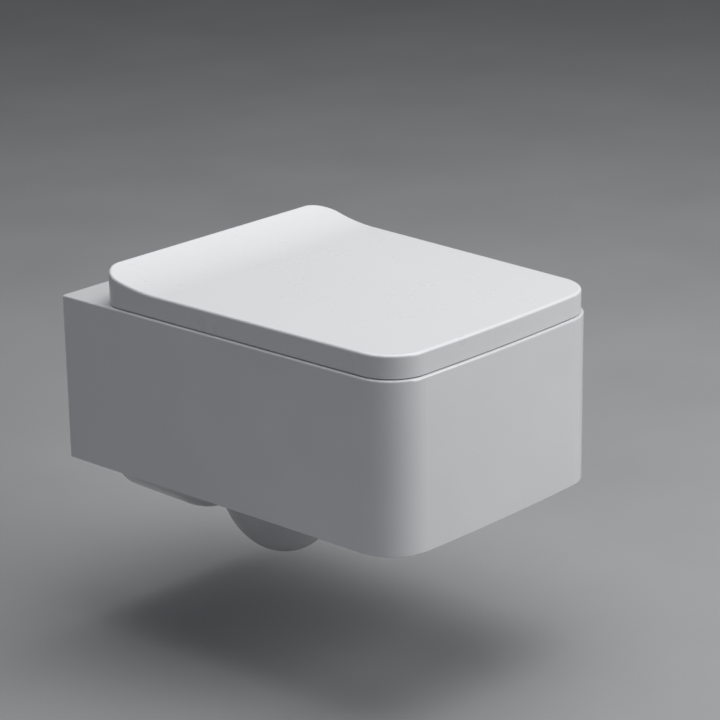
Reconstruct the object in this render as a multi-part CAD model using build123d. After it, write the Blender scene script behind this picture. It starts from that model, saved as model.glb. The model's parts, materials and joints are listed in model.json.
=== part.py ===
from build123d import *
import os
from math import hypot, sqrt

# Wall hung toilet: a square-fronted ceramic pan with a wrap-over lid, a seat ring and take-off hinges.
# The wall plane is Y = 0 and the front points to -Y. +X is to the right and +Z is up.
# The origin is midway between the two wall studs, in the wall plane. Sizes are in mm.

# Ceramic box
pan_rear_width = 370.0
pan_taper = 34.5
pan_depth = 492.0
front_bow = 4.5
front_corner_radius = 50.0
box_height = 195.0
deck_height = 80.0
skirt_wall = 11.0
rear_wall = 12.0
deck_thickness = 13.0
top_edge_radius = 2.2
lower_edge_radius = 1.4

# Bowl, measured inside. Its rims are measured on the deck.
bowl_side_rim = 27.75
bowl_front_rim = 40.0
bowl_rear_deck = 128.0
bowl_corner_radius = 92.0
bowl_lip_radius = 6.0
rim_band_height = 28.0
ledge_width = 9.0
bowl_wall = 9.0
# Down the bowl: share of the depth, of the width and of the length, and how far the rear steps in.
bowl_stations = [(0.0, 1.0, 1.0, 0.0), (0.22, 0.87, 0.87, 13.0), (0.54, 0.6, 0.64, 24.0), (0.8, 0.4, 0.43, 22.0)]

# Trap and outlet
trap_bore_radius = 33.0
trap_wall = 8.5
trap_bend_radius = 40.0
crown_bend_radius = 40.0
crown_rise = 19.5
trap_mouth_rise = 6.0
trap_mouth_step = 1.5
trap_centre_y = -149.0
water_seal = 58.0
outlet_drop = 100.0
spigot_radius = 51.0
spigot_wall = 8.0
spigot_setback = 8.0
spigot_length = 32.0

# Rear foot, which bears on the wall below the studs
foot_width = 246.0
foot_drop = 75.0
foot_rise = 90.0
foot_depth = 140.0
foot_wall = 11.0
foot_side_radius = 75.0
foot_front_radius = 50.0

# Flush inlet
inlet_rise = 35.0
inlet_radius = 27.5
inlet_length = 40.0
inlet_wall = 8.5
inlet_step = 1.5
inlet_slot_width = 92.0
inlet_slot_height = 19.0

# Wall studs
stud_spacing = 180.0
stud_hole_radius = 11.0
stud_bore_radius = 6.6
sleeve_radius = 10.8
sleeve_flange_radius = 17.0
sleeve_flange_thickness = 3.0
stud_washer_radius = 14.0
stud_washer_thickness = 2.5
stud_nut_flats = 19.0
stud_nut_height = 10.0
stud_thread_radius = 5.4

# Lid
lid_inset = 3.0
lid_gap = 1.3
lid_height = 26.5
lid_wall = 4.0
lid_edge_radius = 3.0
lid_rear_y = -54.0
lid_rear_corner_radius = 30.0
lid_sweep_start_y = -145.0
lid_sweep_spare = 20.0
lid_sweep_radius = 260.0
lid_swing_radius = 18.5

# Seat ring
seat_thickness = 15.5
seat_lift = 4.0
seat_side_clearance = 2.0
seat_rear_y = -113.0
seat_rear_corner_radius = 14.0
seat_edge_radius = 3.0
seat_hole_edge_radius = 6.0
seat_hole_lower_radius = 2.0
seat_hole_radius = 92.0
seat_side_band = 56.75
seat_front_band = 52.0
seat_rear_band = 56.0
seat_neck_lap = 4.0

# Hinges
hinge_spacing = 155.0
hinge_axis_height = 20.5
hinge_axis_setback = 17.0
knuckle_width = 30.0
barrel_radius = 11.3
lug_length = 36.0
lug_end_wall = 3.0
hinge_side_gap = 0.5
hinge_pin_radius = 3.5
running_clearance = 0.05
fixed_clearance = 0.02
cartridge_radius = 7.5
cartridge_flange_radius = 9.5
cartridge_flange_thickness = 2.0
cartridge_pin_depth = 20.0
pillar_offset = 8.0
pillar_radius = 5.0
pillar_clearance = 0.08
pillar_top_gap = 2.0
pillar_collar_radius = 8.0
pillar_collar_height = 2.0
pillar_chamfer = 1.0
post_front = 17.5
post_rear = 2.0
post_edge_radius = 2.0
post_top_drop = 4.0
hinge_plate_radius = 14.0
hinge_plate_thickness = 2.5
hinge_plate_chamfer = 0.5
hinge_gasket_thickness = 1.0
hinge_hole_radius = 7.0
hinge_thread_radius = 4.0
thread_clearance = 0.1
hinge_washer_radius = 12.0
hinge_washer_thickness = 5.0
hinge_washer_chamfer = 1.5
nut_chamfer = 0.6
hinge_nut_flats = 13.0
hinge_nut_height = 8.0
hinge_thread_end = 4.0
notch_clearance = 2.5
notch_height = 10.0

# Release buttons
button_width = 22.0
button_height = 9.0
button_thickness = 4.0
button_travel = 3.0
button_end_gap = 1.0
button_edge_radius = 1.5
prong_width = 3.0
prong_height = 3.0
prong_length = 16.0
prong_clearance = 0.3
prong_slot_overlap = 0.8
spring_radius = 2.3
spring_wire_radius = 0.3
spring_pocket_radius = 3.0
spring_pocket_depth = 3.0
spring_turns = 3

# Bumpers
seat_bumper_length = 30.0
seat_bumper_width = 12.0
lid_bumper_radius = 8.0
bumper_corner_radius = 3.0
bumper_gap = 0.2
rear_bumper_y = -175.0
front_bumper_margin = 26.0
front_bumper_spacing = 160.0
seat_bumper_margin = 14.9
lid_bumper_margin = 29.9

# How far a cutting tool runs past the face that it cuts
overcut = 1.0

# Places that follow from the sizes above
pan_front_width = pan_rear_width - pan_taper
bowl_width = pan_front_width - 2 * bowl_side_rim
bowl_length = pan_depth - bowl_front_rim - bowl_rear_deck
seat_inset = lid_inset + lid_wall + seat_side_clearance
seat_hole_width = pan_front_width - 2 * seat_side_band
seat_hole_length = pan_depth + seat_rear_y - seat_inset - seat_front_band - seat_rear_band
seat_hole_y = -pan_depth + seat_inset + seat_front_band + seat_hole_length / 2
deck_z = deck_height
skirt_z = deck_z - box_height
under_deck_z = deck_z - deck_thickness
outlet_z = -outlet_drop
side_slope = pan_taper / 2 / pan_depth
side_cos = pan_depth / hypot(pan_depth, pan_taper / 2)
bowl_centre_y = -pan_depth + bowl_front_rim + bowl_length / 2
bowl_rear_y = bowl_centre_y + bowl_length / 2
trap_front_y = trap_centre_y - trap_bend_radius
trap_rear_y = trap_centre_y + trap_bend_radius
trap_hull_radius = trap_bore_radius + trap_wall
crown_y = trap_rear_y + crown_bend_radius
spigot_bore_radius = spigot_radius - spigot_wall
spigot_start_y = -spigot_setback - spigot_length
crown_z = outlet_z + crown_rise
weir_z = crown_z - trap_bore_radius
crown_bend_z = crown_z - crown_bend_radius
lip_z = weir_z - water_seal
trap_bend_z = lip_z + trap_bend_radius - trap_bore_radius
hinge_x = hinge_spacing / 2
thread_bore_radius = hinge_thread_radius + thread_clearance
axis_y = lid_rear_y - hinge_axis_setback
axis_z = deck_z + hinge_axis_height
pillar_y = axis_y - pillar_offset
plate_z = deck_z + hinge_gasket_thickness
post_z = plate_z + hinge_plate_thickness
pillar_top_z = axis_z - hinge_pin_radius - pillar_top_gap
knuckle_inner_x = hinge_x - knuckle_width / 2
knuckle_outer_x = hinge_x + knuckle_width / 2
lug_gap = hinge_side_gap + cartridge_flange_thickness
seat_lug_x = knuckle_inner_x - lug_gap
lid_lug_x = knuckle_outer_x + lug_gap
seat_z = deck_z + seat_lift
seat_top_z = seat_z + seat_thickness
lid_under_z = deck_z + lid_height - lid_wall
lid_top_z = deck_z + lid_height
prong_x = pillar_radius + prong_clearance + prong_width / 2
button_z = (post_z + pillar_collar_height + pillar_top_z) / 2
post_front_y = axis_y - post_front
button_back_y = post_front_y - button_travel - button_end_gap
prong_end_y = button_back_y + prong_length
spring_seat_y = post_front_y + spring_pocket_depth
front_bumper_y = -pan_depth + front_bumper_margin
front_bumper_x = front_bumper_spacing / 2


def pan_half_width(y):
    """Half the box's width at a distance from the wall."""
    return pan_rear_width / 2 + side_slope * y


def pan_outline(inset, rear_y, rear_radius=0.0):
    """The box's outline in plan, drawn in by an inset, with its straight rear edge at rear_y."""
    front_y = -pan_depth + inset
    corner_y = front_y + front_bow
    rear_x = pan_half_width(rear_y) - inset / side_cos
    corner_x = pan_half_width(corner_y) - inset / side_cos
    edges = [
        Line((-rear_x, rear_y), (rear_x, rear_y)),
        Line((rear_x, rear_y), (corner_x, corner_y)),
        ThreePointArc((corner_x, corner_y), (0, front_y), (-corner_x, corner_y)),
        Line((-corner_x, corner_y), (-rear_x, rear_y)),
    ]
    face = make_face(edges)
    front = face.vertices().sort_by(Axis.Y)[:2]
    face = fillet(front, front_corner_radius - inset)
    if rear_radius > 0:
        rear = face.vertices().sort_by(Axis.Y)[-2:]
        face = fillet(rear, rear_radius)
    return face


def upright(face, low_z, high_z):
    """A plan outline extruded between two heights."""
    return extrude(Pos(0, 0, low_z) * face, high_z - low_z, dir=(0, 0, 1))


def disc_along_y(x, z, radius, start_y, end_y):
    """A round bar along Y."""
    bar = Cylinder(radius, abs(end_y - start_y))
    return Pos(x, (start_y + end_y) / 2, z) * Rot(90, 0, 0) * bar


def disc_along_x(start_x, end_x, y, z, radius):
    """A round bar along X."""
    bar = Cylinder(radius, abs(end_x - start_x))
    return Pos((start_x + end_x) / 2, y, z) * Rot(0, 90, 0) * bar


def disc_along_z(x, y, radius, low_z, high_z):
    """A round bar along Z."""
    return Pos(x, y, (low_z + high_z) / 2) * Cylinder(radius, high_z - low_z)


def block(low, high):
    """A box between two corners."""
    size = [b - a for a, b in zip(low, high)]
    centre = [(a + b) / 2 for a, b in zip(low, high)]
    return Pos(*centre) * Box(*size)


def facing_front(y, z):
    """A plane square to Y on the centre line, with its own X to the right and its own Y up."""
    return Plane(origin=(0, y, z), x_dir=(1, 0, 0), z_dir=(0, -1, 0))


def mirrored_pair(solid):
    """A piece and its mirror image across the centre plane."""
    return Compound(children=[solid, mirror(solid, Plane.YZ)])


def hexagon_bar(flats, height):
    """A hexagonal bar along Z, centred on the origin."""
    bar = extrude(RegularPolygon(flats / sqrt(3), 6), height / 2, both=True)
    return chamfer(bar.edges().filter_by(GeomType.LINE).filter_by(Plane.XY), nut_chamfer)


def bowl_loft(grow, drop):
    """The bowl below its ledge, lofted through rounded sections down to the trap's mouth."""
    mouth = 2 * (trap_bore_radius + trap_mouth_step)
    mouth_z = trap_bend_z + trap_mouth_rise
    depth = deck_z - rim_band_height - mouth_z
    rear = bowl_rear_y - ledge_width
    sections = []
    for down, wide, long, step in bowl_stations:
        width = (bowl_width - 2 * ledge_width) * wide + 2 * grow
        length = (bowl_length - 2 * ledge_width) * long + 2 * grow
        radius = min(bowl_corner_radius - ledge_width + grow, 0.48 * width, 0.48 * length)
        place = Pos(0, rear - step - length / 2 + grow, deck_z - rim_band_height - drop - depth * down)
        sections.append(place * RectangleRounded(width, length, radius))
    end = Pos(0, trap_front_y, mouth_z - drop)
    sections.append(end * RectangleRounded(mouth + 2 * grow, mouth + 2 * grow, 0.495 * (mouth + 2 * grow)))
    return loft(sections)


def bend(radius, bend_radius, centre_y, centre_z, sweep, webbed):
    """A round passage bent about an X axis from its -Y side; a webbed one is solid on its inner side."""
    section = Pos(0, -bend_radius) * Circle(radius)
    if webbed:
        section += Pos(0, -bend_radius / 2) * Rectangle(2 * radius, bend_radius)
        section &= Pos(0, -2 * radius) * Rectangle(4 * radius, 4 * radius)
    return Pos(0, centre_y, centre_z) * revolve(section, Axis.X, sweep)


def outlet_transition(low_radius, high_radius):
    """The fall from the crown of the trap to the outlet spigot."""
    crown = facing_front(crown_y, crown_z) * Circle(low_radius)
    spigot = facing_front(spigot_start_y, outlet_z) * Circle(high_radius)
    return loft([crown, spigot])


def trap(radius, outlet_radius, webbed):
    """The trap's whole run: front leg, lower bend, rear leg, crown and outlet."""
    legs = disc_along_z(0, trap_front_y, radius, trap_bend_z, trap_bend_z + trap_mouth_rise)
    legs += disc_along_z(0, trap_rear_y, radius, trap_bend_z, crown_bend_z)
    run = bend(radius, trap_bend_radius, trap_centre_y, trap_bend_z, 180, webbed) + legs
    run += bend(radius, crown_bend_radius, crown_y, crown_bend_z, -90, webbed)
    run += outlet_transition(radius, outlet_radius)
    return run


def inlet_channel(grow, start_y, end_y):
    """The flush channel from the inlet bore, flattening towards the slot behind the bowl."""
    bore = 2 * (inlet_radius + inlet_step + grow)
    slot_z = deck_z - rim_band_height + inlet_slot_height / 2
    slot_width = inlet_slot_width + 2 * grow
    slot_height = inlet_slot_height + 2 * grow
    round_end = facing_front(start_y, inlet_rise) * RectangleRounded(bore, bore, 0.495 * bore)
    slot_end = facing_front(end_y, slot_z) * RectangleRounded(slot_width, slot_height, 0.4 * slot_height)
    return loft([round_end, slot_end])


def rear_foot(inset, front_y):
    """The foot's outline seen from behind, extruded forward from the wall."""
    low_z = skirt_z - foot_drop + inset
    high_z = skirt_z + foot_rise - inset
    width = foot_width - 2 * inset
    outline = RectangleRounded(width, high_z - low_z, foot_side_radius - inset)
    outline = facing_front(0, (low_z + high_z) / 2) * outline
    foot = extrude(outline, -front_y, dir=(0, -1, 0))
    return fillet(foot.faces().sort_by(Axis.Y)[0].edges(), foot_front_radius - inset)


def bowl_opening():
    """The bowl's opening, with its straight band down to the ledge."""
    outline = Pos(0, bowl_centre_y) * RectangleRounded(bowl_width, bowl_length, bowl_corner_radius)
    return upright(outline, deck_z - rim_band_height, deck_z + overcut)


def bowl_rim():
    """The block of clay round the opening, under the deck."""
    width = bowl_width + 2 * bowl_wall
    length = bowl_length + 2 * bowl_wall
    outline = Pos(0, bowl_centre_y) * RectangleRounded(width, length, bowl_corner_radius + bowl_wall)
    return upright(outline, deck_z - rim_band_height - bowl_wall, under_deck_z)


def is_bowl_lip(edge):
    """True for the edges of the bowl's opening in the deck."""
    middle = edge.center()
    across = abs(middle.X) < bowl_width / 2 + overcut
    along = abs(middle.Y - bowl_centre_y) < bowl_length / 2 + overcut
    return across and along and abs(middle.Z - deck_z) < 0.01


def make_ceramic_pan():
    """The casting: a skirted box, the bowl and trap inside it, and the foot that bears on the wall."""
    pan = upright(pan_outline(0, 0), skirt_z, deck_z)
    pan = fillet(pan.faces().sort_by(Axis.Z)[-1].edges().sort_by(Axis.Y)[:-1], top_edge_radius)
    pan = fillet(pan.faces().sort_by(Axis.Z)[0].edges().sort_by(Axis.Y)[:-1], lower_edge_radius)
    pan -= upright(pan_outline(skirt_wall, -rear_wall), skirt_z - overcut, under_deck_z)
    pan += rear_foot(0, -foot_depth)
    pan -= rear_foot(foot_wall, -foot_depth + foot_wall)

    hull = trap(trap_hull_radius, spigot_radius, True)
    hull += disc_along_y(0, outlet_z, spigot_radius, spigot_start_y, -spigot_setback)
    hull += bowl_rim() + bowl_loft(bowl_wall, bowl_wall)
    inlet_start_y = -inlet_length - inlet_wall
    inlet = disc_along_y(0, inlet_rise, inlet_radius + inlet_wall, inlet_start_y, -overcut)
    hull += inlet + inlet_channel(inlet_wall, inlet_start_y, bowl_rear_y - bowl_wall / 4)

    passages = bowl_opening() + bowl_loft(0, 0)
    waterway = trap(trap_bore_radius, spigot_bore_radius, False)
    passages += waterway + disc_along_y(0, outlet_z, spigot_bore_radius, spigot_start_y, overcut)
    inlet = disc_along_y(0, inlet_rise, inlet_radius, -inlet_length, overcut)
    passages += inlet + inlet_channel(0, -inlet_length, bowl_rear_y - ledge_width)

    pan = pan + hull - passages
    for side in (-1, 1):
        pan -= disc_along_y(side * stud_spacing / 2, 0, stud_hole_radius, -rear_wall - overcut, overcut)
        pan -= disc_along_z(side * hinge_x, pillar_y, hinge_hole_radius, under_deck_z - overcut, deck_z + overcut)
    return fillet(pan.edges().filter_by(is_bowl_lip), bowl_lip_radius)


def make_stud_sleeve():
    sleeve = disc_along_y(0, 0, sleeve_radius, -rear_wall, 0)
    sleeve += disc_along_y(0, 0, sleeve_flange_radius, -rear_wall - sleeve_flange_thickness, -rear_wall)
    sleeve -= disc_along_y(0, 0, stud_bore_radius, -rear_wall - sleeve_flange_thickness - overcut, overcut)
    return Pos(stud_spacing / 2, 0, 0) * sleeve


def make_stud_washer():
    back_y = -rear_wall - sleeve_flange_thickness
    washer = disc_along_y(0, 0, stud_washer_radius, back_y - stud_washer_thickness, back_y)
    washer -= disc_along_y(0, 0, stud_bore_radius, back_y - stud_washer_thickness - overcut, back_y + overcut)
    return Pos(stud_spacing / 2, 0, 0) * washer


def make_stud_nut():
    back_y = -rear_wall - sleeve_flange_thickness - stud_washer_thickness
    nut = Rot(90, 0, 0) * hexagon_bar(stud_nut_flats, stud_nut_height)
    nut = Pos(stud_spacing / 2, back_y - stud_nut_height / 2, 0) * nut
    front_y = back_y - stud_nut_height - overcut
    return nut - disc_along_y(stud_spacing / 2, 0, stud_thread_radius, front_y, back_y + overcut)


def make_hinge_gasket():
    gasket = disc_along_z(hinge_x, pillar_y, hinge_plate_radius, deck_z, plate_z)
    return gasket - disc_along_z(hinge_x, pillar_y, thread_bore_radius, deck_z - overcut, plate_z + overcut)


def make_hinge_plate(side):
    plate = disc_along_z(side * hinge_x, pillar_y, hinge_plate_radius, plate_z, post_z)
    plate = chamfer(plate.faces().sort_by(Axis.Z)[-1].edges(), hinge_plate_chamfer)
    return plate - disc_along_z(side * hinge_x, pillar_y, thread_bore_radius, plate_z - overcut, post_z + overcut)


def make_hinge_pillar(side):
    nut_z = under_deck_z - hinge_washer_thickness - hinge_nut_height
    x = side * hinge_x
    pillar = disc_along_z(x, pillar_y, pillar_radius, post_z, pillar_top_z)
    pillar = chamfer(pillar.faces().sort_by(Axis.Z)[-1].edges(), pillar_chamfer)
    pillar += disc_along_z(x, pillar_y, pillar_collar_radius, post_z, post_z + pillar_collar_height)
    return pillar + disc_along_z(x, pillar_y, hinge_thread_radius, nut_z - hinge_thread_end, post_z)


def make_hinge_washer():
    low_z = under_deck_z - hinge_washer_thickness
    washer = disc_along_z(hinge_x, pillar_y, hinge_washer_radius, low_z, under_deck_z)
    washer = chamfer(washer.faces().sort_by(Axis.Z)[0].edges(), hinge_washer_chamfer)
    return washer - disc_along_z(hinge_x, pillar_y, thread_bore_radius, low_z - overcut, under_deck_z + overcut)


def make_hinge_nut():
    high_z = under_deck_z - hinge_washer_thickness
    nut = Pos(hinge_x, pillar_y, high_z - hinge_nut_height / 2) * hexagon_bar(hinge_nut_flats, hinge_nut_height)
    low_z = high_z - hinge_nut_height - overcut
    return nut - disc_along_z(hinge_x, pillar_y, thread_bore_radius, low_z, high_z + overcut)


def make_hinge_carrier(side):
    low_x = knuckle_inner_x
    high_x = knuckle_outer_x
    post_top_z = axis_z - post_top_drop
    post = block((low_x, post_front_y, post_z), (high_x, axis_y + post_rear, post_top_z))
    post = fillet(post.edges().filter_by(Axis.Z).sort_by(Axis.Y)[:2], post_edge_radius)
    carrier = post + disc_along_x(low_x, high_x, axis_y, axis_z, barrel_radius)
    web = Plane.YZ * make_face(
        Polyline(
            (post_front_y, post_top_z),
            (axis_y, post_top_z),
            (axis_y, axis_z + barrel_radius),
            (axis_y - barrel_radius / 3, axis_z + barrel_radius * 0.92),
            (post_front_y, axis_z - post_top_drop / 2),
            close=True,
        )
    )
    carrier += extrude(Pos(low_x, 0, 0) * web, knuckle_width, dir=(1, 0, 0))
    pin_bore = hinge_pin_radius + fixed_clearance
    carrier -= disc_along_x(low_x - overcut, high_x + overcut, axis_y, axis_z, pin_bore)
    bore = pillar_radius + pillar_clearance
    carrier -= disc_along_z(hinge_x, pillar_y, bore, post_z - overcut, pillar_top_z + prong_clearance)
    collar = pillar_collar_radius + prong_clearance
    collar_top_z = post_z + pillar_collar_height + prong_clearance
    carrier -= disc_along_z(hinge_x, pillar_y, collar, post_z - overcut, collar_top_z)
    for prong in (-1, 1):
        inner_x = hinge_x + prong * (bore - prong_slot_overlap)
        outer_x = hinge_x + prong * (prong_x + prong_width / 2 + prong_clearance)
        tall = prong_height / 2 + prong_clearance
        end_y = prong_end_y + button_travel + prong_clearance
        low = (min(inner_x, outer_x), post_front_y - overcut, button_z - tall)
        high = (max(inner_x, outer_x), end_y, button_z + tall)
        carrier -= block(low, high)
    carrier -= disc_along_y(hinge_x, button_z, spring_pocket_radius, post_front_y - overcut, spring_seat_y)
    return carrier if side > 0 else mirror(carrier, Plane.YZ)


def make_release_button(side):
    front_y = button_back_y - button_thickness
    head = block(
        (hinge_x - button_width / 2, front_y, button_z - button_height / 2),
        (hinge_x + button_width / 2, button_back_y, button_z + button_height / 2),
    )
    head = fillet(head.edges().filter_by(Axis.Y), button_edge_radius)
    head = fillet(head.faces().sort_by(Axis.Y)[0].edges(), button_edge_radius / 2)
    wide = prong_width / 2
    tall = prong_height / 2
    for prong in (-1, 1):
        x = hinge_x + prong * prong_x
        low = (x - wide, button_back_y - button_edge_radius, button_z - tall)
        head += block(low, (x + wide, prong_end_y, button_z + tall))
    return head if side > 0 else mirror(head, Plane.YZ)


def make_release_spring(side):
    length = spring_seat_y - button_back_y - 2 * spring_wire_radius
    path = Helix(pitch=length / spring_turns, height=length, radius=spring_radius)
    start = path @ 0
    section = Plane(origin=start, z_dir=path % 0) * RegularPolygon(spring_wire_radius, 6)
    coil = sweep(section, path=path)
    place = Pos(side * hinge_x, button_back_y + spring_wire_radius, button_z) * Rot(-90, 0, 0)
    return place * coil


def make_hinge_pin(side):
    inner_x = seat_lug_x - cartridge_pin_depth
    outer_x = lid_lug_x + cartridge_pin_depth
    return disc_along_x(side * inner_x, side * outer_x, axis_y, axis_z, hinge_pin_radius)


def make_cartridge(mouth_x, outward):
    """A round insert in a lug: its flange stands at the lug's mouth and its body runs outward along X."""
    end_x = mouth_x + outward * (lug_length - lug_end_wall - running_clearance)
    flange_x = mouth_x - outward * cartridge_flange_thickness
    insert = disc_along_x(mouth_x, end_x, axis_y, axis_z, cartridge_radius)
    insert += disc_along_x(flange_x, mouth_x, axis_y, axis_z, cartridge_flange_radius)
    bore_end_x = mouth_x + outward * (cartridge_pin_depth + overcut)
    bore = hinge_pin_radius + running_clearance
    return insert - disc_along_x(flange_x - outward, bore_end_x, axis_y, axis_z, bore)


def lug_bore(mouth_x, outward):
    end_x = mouth_x + outward * (lug_length - lug_end_wall)
    return disc_along_x(mouth_x - outward, end_x, axis_y, axis_z, cartridge_radius + fixed_clearance)


def is_seat_hole_rim(edge):
    """True for the level edges of the seat's hole."""
    middle = edge.center()
    across = abs(middle.X) < seat_hole_width / 2 + overcut
    along = abs(middle.Y - seat_hole_y) < seat_hole_length / 2 + overcut
    level = abs(middle.Z - seat_z) < 0.01 or abs(middle.Z - seat_top_z) < 0.01
    return across and along and level


def make_seat_ring():
    ring = upright(pan_outline(seat_inset, seat_rear_y, seat_rear_corner_radius), seat_z, seat_top_z)
    ring = fillet(ring.faces().sort_by(Axis.Z)[-1].edges(), seat_edge_radius)
    ring = fillet(ring.faces().sort_by(Axis.Z)[0].edges(), seat_edge_radius / 2)
    hole = Pos(0, seat_hole_y) * RectangleRounded(seat_hole_width, seat_hole_length, seat_hole_radius)
    ring -= upright(hole, seat_z - overcut, seat_top_z + overcut)
    rims = ring.edges().filter_by(is_seat_hole_rim)
    ring = fillet(rims.sort_by(Axis.Z)[-len(rims) // 2 :], seat_hole_edge_radius)
    rims = ring.edges().filter_by(is_seat_hole_rim)
    ring = fillet(rims.filter_by_position(Axis.Z, seat_z - 0.01, seat_z + 0.01), seat_hole_lower_radius)

    neck_y = seat_rear_y - seat_edge_radius - seat_neck_lap
    neck = Plane.YZ * make_face(
        Polyline(
            (neck_y, seat_z + seat_edge_radius / 2),
            (axis_y - barrel_radius / 3, axis_z - barrel_radius * 0.93),
            (axis_y, axis_z),
            (axis_y - barrel_radius * 0.44, axis_z + barrel_radius * 0.89),
            (neck_y, seat_top_z - seat_edge_radius / 6),
            close=True,
        )
    )
    inner_x = seat_lug_x - lug_length
    for side in (-1, 1):
        lug = extrude(Pos(inner_x, 0, 0) * neck, lug_length, dir=(1, 0, 0))
        lug += disc_along_x(inner_x, seat_lug_x, axis_y, axis_z, barrel_radius)
        lug -= lug_bore(seat_lug_x, -1)
        ring += lug if side > 0 else mirror(lug, Plane.YZ)
    return ring


def lid_top_profile(drop):
    """The lid's side profile below its top surface: flat in front, swept up in an arc at the rear."""
    top_z = lid_top_z - drop
    low_z = deck_z - 2 * seat_edge_radius
    radius = lid_sweep_radius + drop
    reach = lid_rear_y + lid_sweep_spare - lid_sweep_start_y
    rise = radius - sqrt(radius**2 - reach**2)
    middle_rise = radius - sqrt(radius**2 - (reach / 2) ** 2)
    start = (lid_sweep_start_y, top_z)
    end = (lid_sweep_start_y + reach, top_z + rise)
    front_y = -pan_depth - overcut
    edges = [
        Line((front_y, top_z), start),
        ThreePointArc(start, (lid_sweep_start_y + reach / 2, top_z + middle_rise), end),
        Line(end, (end[0], low_z)),
        Line((end[0], low_z), (front_y, low_z)),
        Line((front_y, low_z), (front_y, top_z)),
    ]
    face = Plane.YZ * make_face(edges)
    return extrude(face, pan_rear_width, both=True)


def lid_solid(inset, drop, low_z, rear_y, rear_radius):
    """The lid's full volume, drawn in by an inset."""
    column = upright(pan_outline(lid_inset + inset, rear_y, rear_radius), low_z, deck_z + 2 * lid_height)
    return column & lid_top_profile(drop)


def is_lid_top_edge(edge):
    """True for the lid's outer top edge, and not for the line across it where the flat top turns into its sweep."""
    across = all(abs(end.Y - lid_sweep_start_y) < 0.01 for end in edge.vertices())
    return edge.center().Z > lid_top_z - 0.5 and not across


def make_lid():
    outer = lid_solid(0, 0, deck_z + lid_gap, lid_rear_y, lid_rear_corner_radius)
    outer = fillet(outer.edges().filter_by(is_lid_top_edge), lid_edge_radius)
    inner = lid_solid(lid_wall, lid_wall, deck_z - overcut, lid_rear_y - lid_wall, lid_rear_corner_radius - lid_wall)
    lid = outer - inner

    web_top_z = deck_z + 2 * lid_height
    for side in (-1, 1):
        low_x = lid_lug_x
        high_x = lid_lug_x + lug_length
        lug = block((low_x, axis_y - barrel_radius / 2, axis_z), (high_x, lid_rear_y - lid_wall / 4, web_top_z))
        lug += disc_along_x(low_x, high_x, axis_y, axis_z, barrel_radius)
        lug = lug & outer
        lug = lug if side > 0 else mirror(lug, Plane.YZ)
        lid += lug
        bore = lug_bore(lid_lug_x, 1)
        lid -= bore if side > 0 else mirror(bore, Plane.YZ)

    # The rear wall and corners are cut to a cylinder about the hinge axis, so that they swing clear of the deck.
    width = pan_rear_width
    below = block((-width, axis_y, deck_z), (width, lid_rear_y + overcut, axis_z))
    lid -= below - disc_along_x(-width - overcut, width + overcut, axis_y, axis_z, lid_swing_radius)
    # Between the corners its lower edge is level, so that it passes under the seat's necks.
    edge_z = axis_z - sqrt(lid_swing_radius**2 - hinge_axis_setback**2)
    straight = pan_half_width(lid_rear_y) - lid_inset - lid_rear_corner_radius
    lid -= block((-straight, axis_y + barrel_radius, deck_z), (straight, lid_rear_y + overcut, edge_z))
    for side in (-1, 1):
        centre_x = side * hinge_x
        wide = knuckle_width / 2 + notch_clearance
        notch_low = (centre_x - wide, axis_y + barrel_radius, deck_z)
        notch_high = (centre_x + wide, lid_rear_y + overcut, axis_z + notch_height)
        lid -= block(notch_low, notch_high)
    return lid


def make_seat_bumpers():
    low_z = deck_z + bumper_gap
    height = seat_z - low_z
    pad = Box(seat_bumper_width, seat_bumper_length, height)
    pad = fillet(pad.edges().filter_by(Axis.Z), bumper_corner_radius)
    rear_x = pan_half_width(rear_bumper_y) - seat_inset - seat_bumper_margin
    rear = Pos(rear_x, rear_bumper_y, low_z + height / 2) * pad
    front = Pos(front_bumper_x, front_bumper_y, low_z + height / 2) * Rot(0, 0, 90) * pad
    return Compound(children=[rear, front, mirror(rear, Plane.YZ), mirror(front, Plane.YZ)])


def make_lid_bumpers():
    low_z = seat_top_z + bumper_gap
    rear_x = pan_half_width(rear_bumper_y) - seat_inset - lid_bumper_margin
    rear = disc_along_z(rear_x, rear_bumper_y, lid_bumper_radius, low_z, lid_under_z)
    front = disc_along_z(front_bumper_x, front_bumper_y, lid_bumper_radius, low_z, lid_under_z)
    return Compound(children=[rear, front, mirror(rear, Plane.YZ), mirror(front, Plane.YZ)])


def make_parts():
    parts = {
        "ceramic_pan": make_ceramic_pan(),
        "stud_sleeves": mirrored_pair(make_stud_sleeve()),
        "stud_washers": mirrored_pair(make_stud_washer()),
        "stud_nuts": mirrored_pair(make_stud_nut()),
        "hinge_gaskets": mirrored_pair(make_hinge_gasket()),
        "hinge_washers": mirrored_pair(make_hinge_washer()),
        "hinge_nuts": mirrored_pair(make_hinge_nut()),
        "seat_ring": make_seat_ring(),
        "seat_bumpers": make_seat_bumpers(),
        "seat_damper": make_cartridge(-seat_lug_x, 1),
        "seat_bush": make_cartridge(seat_lug_x, -1),
        "lid": make_lid(),
        "lid_bumpers": make_lid_bumpers(),
        "lid_damper": make_cartridge(lid_lug_x, 1),
        "lid_bush": make_cartridge(-lid_lug_x, -1),
    }
    for side, name in ((-1, "left"), (1, "right")):
        parts["hinge_plate_" + name] = make_hinge_plate(side)
        parts["hinge_pillar_" + name] = make_hinge_pillar(side)
        parts["hinge_carrier_" + name] = make_hinge_carrier(side)
        parts["hinge_pin_" + name] = make_hinge_pin(side)
        parts["release_button_" + name] = make_release_button(side)
        parts["release_spring_" + name] = make_release_spring(side)
    return parts


os.makedirs("parts", exist_ok=True)
for node, shape in make_parts().items():
    export_step(shape, "parts/" + node + ".step")
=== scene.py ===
import json
from math import cos, radians, sin

import bpy
from mathutils import Matrix, Vector

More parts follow.
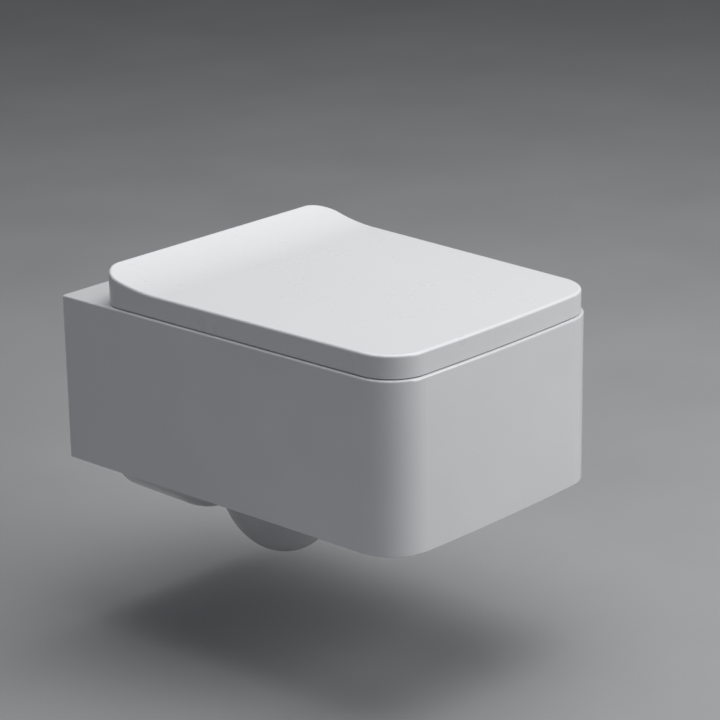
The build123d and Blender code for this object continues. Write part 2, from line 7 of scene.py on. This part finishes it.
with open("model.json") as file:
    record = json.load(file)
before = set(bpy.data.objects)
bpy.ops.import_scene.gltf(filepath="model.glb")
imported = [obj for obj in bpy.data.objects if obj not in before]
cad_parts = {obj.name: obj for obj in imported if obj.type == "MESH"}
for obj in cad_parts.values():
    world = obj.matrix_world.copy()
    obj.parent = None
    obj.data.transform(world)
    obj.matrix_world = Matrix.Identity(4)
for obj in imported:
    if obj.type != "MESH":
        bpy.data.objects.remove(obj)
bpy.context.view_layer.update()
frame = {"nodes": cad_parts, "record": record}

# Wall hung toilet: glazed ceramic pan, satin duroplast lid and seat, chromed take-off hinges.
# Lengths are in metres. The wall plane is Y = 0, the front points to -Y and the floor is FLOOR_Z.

FLOOR_Z = -0.32
FLOOR_HALF_WIDTH = 12.0

CAMERA_TARGET = Vector((0.02793, -0.25694, 0.00488))
CAMERA_AZIMUTH = -46.79
CAMERA_ELEVATION = 19.27
CAMERA_ROLL = 0.82
CAMERA_DISTANCE = 2.93085
SENSOR_WIDTH = 36.0
LENS = 130.13

WALL_FACE_DEPTH = 0.0006
LOWER_EDGE_TOP_Z = -0.1135
LOWER_EDGE_FADE = 0.001
LOWER_EDGE_LIMIT_Z = -0.117

GLAZE_DARK = (0.735, 0.745, 0.755, 1)
GLAZE_LIGHT = (0.765, 0.77, 0.775, 1)
CLAY_DARK = (0.62, 0.6, 0.56, 1)
CLAY_LIGHT = (0.7, 0.69, 0.66, 1)
SPECK = (0.5, 0.5, 0.48, 1)
SPECK_SHARE = 0.12


def direction(azimuth, elevation):
    """The unit vector from the object towards an azimuth and an elevation; azimuth 0 is the front."""
    a, e = radians(azimuth), radians(elevation)
    return Vector((sin(a) * cos(e), -cos(a) * cos(e), sin(e)))


def looking(back, roll=0.0):
    """A rotation whose Z axis is back, whose X axis is level, turned by roll."""
    right = Vector((0, 0, 1)).cross(back).normalized()
    up = back.cross(right)
    matrix = Matrix((right, up, back)).transposed().to_4x4()
    return matrix @ Matrix.Rotation(radians(roll), 4, "Z")


# Materials


class Nodes:
    """Makes and links the nodes of one material."""

    def __init__(self, name):
        self.material = bpy.data.materials.new(name)
        self.material.use_nodes = True
        self.tree = self.material.node_tree
        self.shader = self.tree.nodes["Principled BSDF"]
        coordinates = self.add("ShaderNodeNewGeometry")
        self.place = coordinates.outputs["Position"]
        self.normal = coordinates.outputs["Normal"]

    def add(self, kind, **settings):
        node = self.tree.nodes.new(kind)
        for name, value in settings.items():
            setattr(node, name, value)
        return node

    def join(self, value, socket):
        if isinstance(value, bpy.types.NodeSocket):
            self.tree.links.new(value, socket)
        else:
            socket.default_value = value

    def math(self, operation, *values):
        node = self.add("ShaderNodeMath", operation=operation)
        for value, socket in zip(values, node.inputs):
            self.join(value, socket)
        return node.outputs[0]

    def noise(self, scale, detail=2.0, roughness=0.5, stretch=(1, 1, 1)):
        """A noise value about 0.5, from the place on the object."""
        mapping = self.add("ShaderNodeMapping")
        mapping.inputs["Scale"].default_value = stretch
        self.join(self.place, mapping.inputs["Vector"])
        node = self.add("ShaderNodeTexNoise")
        node.inputs["Scale"].default_value = scale
        node.inputs["Detail"].default_value = detail
        node.inputs["Roughness"].default_value = roughness
        self.join(mapping.outputs[0], node.inputs["Vector"])
        return node.outputs["Fac"]

    def range(self, value, low, high, to_low=0.0, to_high=1.0):
        node = self.add("ShaderNodeMapRange", clamp=True)
        for number, socket in zip((low, high, to_low, to_high), node.inputs[1:5]):
            socket.default_value = number
        self.join(value, node.inputs[0])
        return node.outputs[0]

    def mix(self, factor, first, second):
        node = self.add("ShaderNodeMix", data_type="RGBA")
        self.join(factor, node.inputs[0])
        self.join(first, node.inputs[6])
        self.join(second, node.inputs[7])
        return node.outputs[2]

    def bump(self, height, distance, strength=1.0, under=None):
        node = self.add("ShaderNodeBump")
        node.inputs["Strength"].default_value = strength
        node.inputs["Distance"].default_value = distance
        self.join(height, node.inputs["Height"])
        if under is not None:
            self.join(under, node.inputs["Normal"])
        return node.outputs[0]

    def finish(self, colour, roughness, normal=None, metallic=0.0, **uniform):
        self.join(colour, self.shader.inputs["Base Color"])
        self.join(roughness, self.shader.inputs["Roughness"])
        self.shader.inputs["Metallic"].default_value = metallic
        if normal is not None:
            self.join(normal, self.shader.inputs["Normal"])
        for name, value in uniform.items():
            self.shader.inputs[name.replace("_", " ")].default_value = value
        return self.material


def glazed_ceramic():
    """White glaze with a faint ripple, and bare clay on the wall face and along the lower edges."""
    n = Nodes("pan_glaze")
    split = n.add("ShaderNodeSeparateXYZ")
    n.join(n.place, split.inputs[0])
    facing = n.add("ShaderNodeSeparateXYZ")
    n.join(n.normal, facing.inputs[0])
    near_wall = n.range(split.outputs["Y"], -WALL_FACE_DEPTH, 0.0)
    at_wall = n.math("MULTIPLY", near_wall, n.range(facing.outputs["Y"], 0.7, 0.9))
    facing_down = n.range(facing.outputs["Z"], -0.85, -0.97)
    below = n.range(split.outputs["Z"], LOWER_EDGE_TOP_Z, LOWER_EDGE_TOP_Z - LOWER_EDGE_FADE)
    above = n.range(split.outputs["Z"], LOWER_EDGE_LIMIT_Z, LOWER_EDGE_LIMIT_Z + LOWER_EDGE_FADE)
    lower_edge = n.math("MULTIPLY", n.math("MULTIPLY", facing_down, below), above)
    bare = n.math("MAXIMUM", at_wall, lower_edge)
    cloud = n.noise(9.0, 2.0)
    glaze = n.mix(n.range(cloud, 0.35, 0.65), GLAZE_DARK, GLAZE_LIGHT)
    speck = n.range(n.noise(900.0, 1.0), 0.74, 0.8)
    clay = n.mix(n.range(n.noise(160.0, 4.0), 0.3, 0.7), CLAY_DARK, CLAY_LIGHT)
    glaze = n.mix(n.math("MULTIPLY", speck, SPECK_SHARE), glaze, SPECK)
    colour = n.mix(bare, glaze, clay)
    gloss = n.range(n.noise(35.0, 3.0), 0.3, 0.7, 0.1, 0.16)
    roughness = n.math("MAXIMUM", gloss, n.math("MULTIPLY", bare, 0.8))
    ripple = n.bump(n.noise(22.0, 2.0), 0.0006, 0.35)
    grain = n.bump(n.math("MULTIPLY", n.noise(1500.0, 2.0), bare), 0.0004, 0.6, ripple)
    return n.finish(colour, roughness, grain, IOR=1.52, Coat_Weight=0.25, Coat_Roughness=0.05)


def duroplast(name):
    """White moulded duroplast, satin, with a very fine skin."""
    n = Nodes(name)
    cloud = n.noise(4.0, 1.0)
    colour = n.mix(n.range(cloud, 0.3, 0.7), (0.745, 0.755, 0.762, 1), (0.757, 0.765, 0.772, 1))
    roughness = n.range(n.noise(25.0, 2.0), 0.3, 0.7, 0.27, 0.3)
    sway = n.bump(n.noise(7.0, 0.0), 0.0004, 0.1)
    skin = n.bump(n.noise(1400.0, 0.0), 0.00001, 0.06, sway)
    return n.finish(colour, roughness, skin, IOR=1.5)


def polished_chrome():
    """Chrome plate over a polished casting, with a haze of fine rubbing."""
    n = Nodes("hinge_chrome")
    rub = n.noise(240.0, 5.0, 0.7, (1, 6, 1))
    colour = n.mix(n.range(rub, 0.35, 0.65), (0.72, 0.73, 0.75, 1), (0.8, 0.81, 0.83, 1))
    roughness = n.range(rub, 0.3, 0.7, 0.06, 0.14)
    return n.finish(colour, roughness, n.bump(n.noise(90.0, 2.0), 0.0001, 0.2), 1.0)


def turned_steel(name, light, dark, rough):
    """Turned or drawn metal, with fine lines round the piece."""
    n = Nodes(name)
    lines = n.noise(500.0, 3.0, 0.6, (1, 1, 8))
    colour = n.mix(n.range(lines, 0.35, 0.65), (*dark, 1), (*light, 1))
    roughness = n.range(lines, 0.3, 0.7, rough, rough + 0.12)
    return n.finish(colour, roughness, n.bump(lines, 0.00005, 0.4), 1.0)


def moulded(name, light, dark, rough):
    """Moulded plastic or rubber with a fine even grain."""
    n = Nodes(name)
    grain = n.noise(800.0, 3.0)
    colour = n.mix(n.range(n.noise(30.0, 2.0), 0.35, 0.65), (*dark, 1), (*light, 1))
    return n.finish(colour, n.range(grain, 0.3, 0.7, rough, rough + 0.1), n.bump(grain, 0.00008, 0.4))


materials = {
    "pan_glaze": glazed_ceramic(),
    "seat_duroplast": duroplast("seat_duroplast"),
    "lid_duroplast": duroplast("lid_duroplast"),
    "hinge_chrome": polished_chrome(),
    "pillar_steel": turned_steel("pillar_steel", (0.62, 0.62, 0.63), (0.5, 0.5, 0.51), 0.18),
    "spring_steel": turned_steel("spring_steel", (0.5, 0.5, 0.52), (0.38, 0.38, 0.4), 0.25),
    "zinc_steel": turned_steel("zinc_steel", (0.64, 0.64, 0.62), (0.52, 0.53, 0.52), 0.3),
    "bumper_rubber": moulded("bumper_rubber", (0.66, 0.66, 0.65), (0.6, 0.6, 0.59), 0.5),
    "gasket_rubber": moulded("gasket_rubber", (0.035, 0.035, 0.035), (0.025, 0.025, 0.025), 0.55),
    "button_plastic": moulded("button_plastic", (0.36, 0.37, 0.39), (0.33, 0.34, 0.36), 0.28),
    "damper_plastic": moulded("damper_plastic", (0.07, 0.07, 0.075), (0.05, 0.05, 0.055), 0.4),
    "sleeve_plastic": moulded("sleeve_plastic", (0.6, 0.59, 0.56), (0.55, 0.54, 0.51), 0.45),
    "nut_plastic": moulded("nut_plastic", (0.68, 0.68, 0.68), (0.62, 0.62, 0.62), 0.4),
}
slots = {entry["node"]: entry["material_slot"] for entry in frame["record"]["subparts"]}
for name, node in frame["nodes"].items():
    node.data.materials.clear()
    node.data.materials.append(materials[slots[name]])


# Floor, light and camera


def pale_floor():
    n = Nodes("pale_floor")
    cloud = n.range(n.noise(3.0, 4.0), 0.3, 0.7)
    colour = n.mix(cloud, (0.33, 0.33, 0.335, 1), (0.36, 0.36, 0.365, 1))
    return n.finish(colour, n.range(n.noise(8.0, 4.0), 0.3, 0.7, 0.6, 0.7))


def add_floor():
    half = FLOOR_HALF_WIDTH
    mesh = bpy.data.meshes.new("floor")
    corners = [(x * half, y * half, FLOOR_Z) for x, y in ((-1, -1), (1, -1), (1, 1), (-1, 1))]
    mesh.from_pydata(corners, [], [(0, 1, 2, 3)])
    floor = bpy.data.objects.new("floor", mesh)
    bpy.context.scene.collection.objects.link(floor)
    mesh.materials.append(pale_floor())


def add_softbox(name, azimuth, elevation, distance, width, height, watts, colour=(1, 1, 1)):
    """A rectangular area light aimed at the middle of the object."""
    light = bpy.data.lights.new(name, "AREA")
    light.shape = "RECTANGLE"
    light.size, light.size_y = width, height
    light.energy = watts
    light.color = colour
    lamp = bpy.data.objects.new(name, light)
    back = direction(azimuth, elevation)
    lamp.matrix_world = Matrix.Translation(CAMERA_TARGET + back * distance) @ looking(back)
    bpy.context.scene.collection.objects.link(lamp)


def add_camera():
    camera = bpy.data.cameras.new("camera")
    camera.sensor_width = SENSOR_WIDTH
    camera.lens = LENS
    holder = bpy.data.objects.new("camera", camera)
    back = direction(CAMERA_AZIMUTH, CAMERA_ELEVATION)
    place = CAMERA_TARGET + back * CAMERA_DISTANCE
    holder.matrix_world = Matrix.Translation(place) @ looking(back, -CAMERA_ROLL)
    bpy.context.scene.collection.objects.link(holder)
    bpy.context.scene.camera = holder


add_floor()
add_softbox("overhead", 60.0, 80.0, 2.6, 2.4, 2.4, 62.0)
add_softbox("front_right", 28.0, 28.0, 3.0, 1.8, 1.6, 42.0)
add_softbox("left_fill", -72.0, 40.0, 2.6, 1.6, 1.2, 4.0, (0.86, 0.92, 1.0))
add_softbox("rear", 175.0, 58.0, 3.2, 2.0, 1.4, 5.0)
add_camera()

world = bpy.data.worlds.new("studio")
world.use_nodes = True
world.node_tree.nodes["Background"].inputs["Color"].default_value = (0.86, 0.92, 1.0, 1)
world.node_tree.nodes["Background"].inputs["Strength"].default_value = 0.09
bpy.context.scene.world = world
bpy.context.scene.view_settings.view_transform = "Standard"
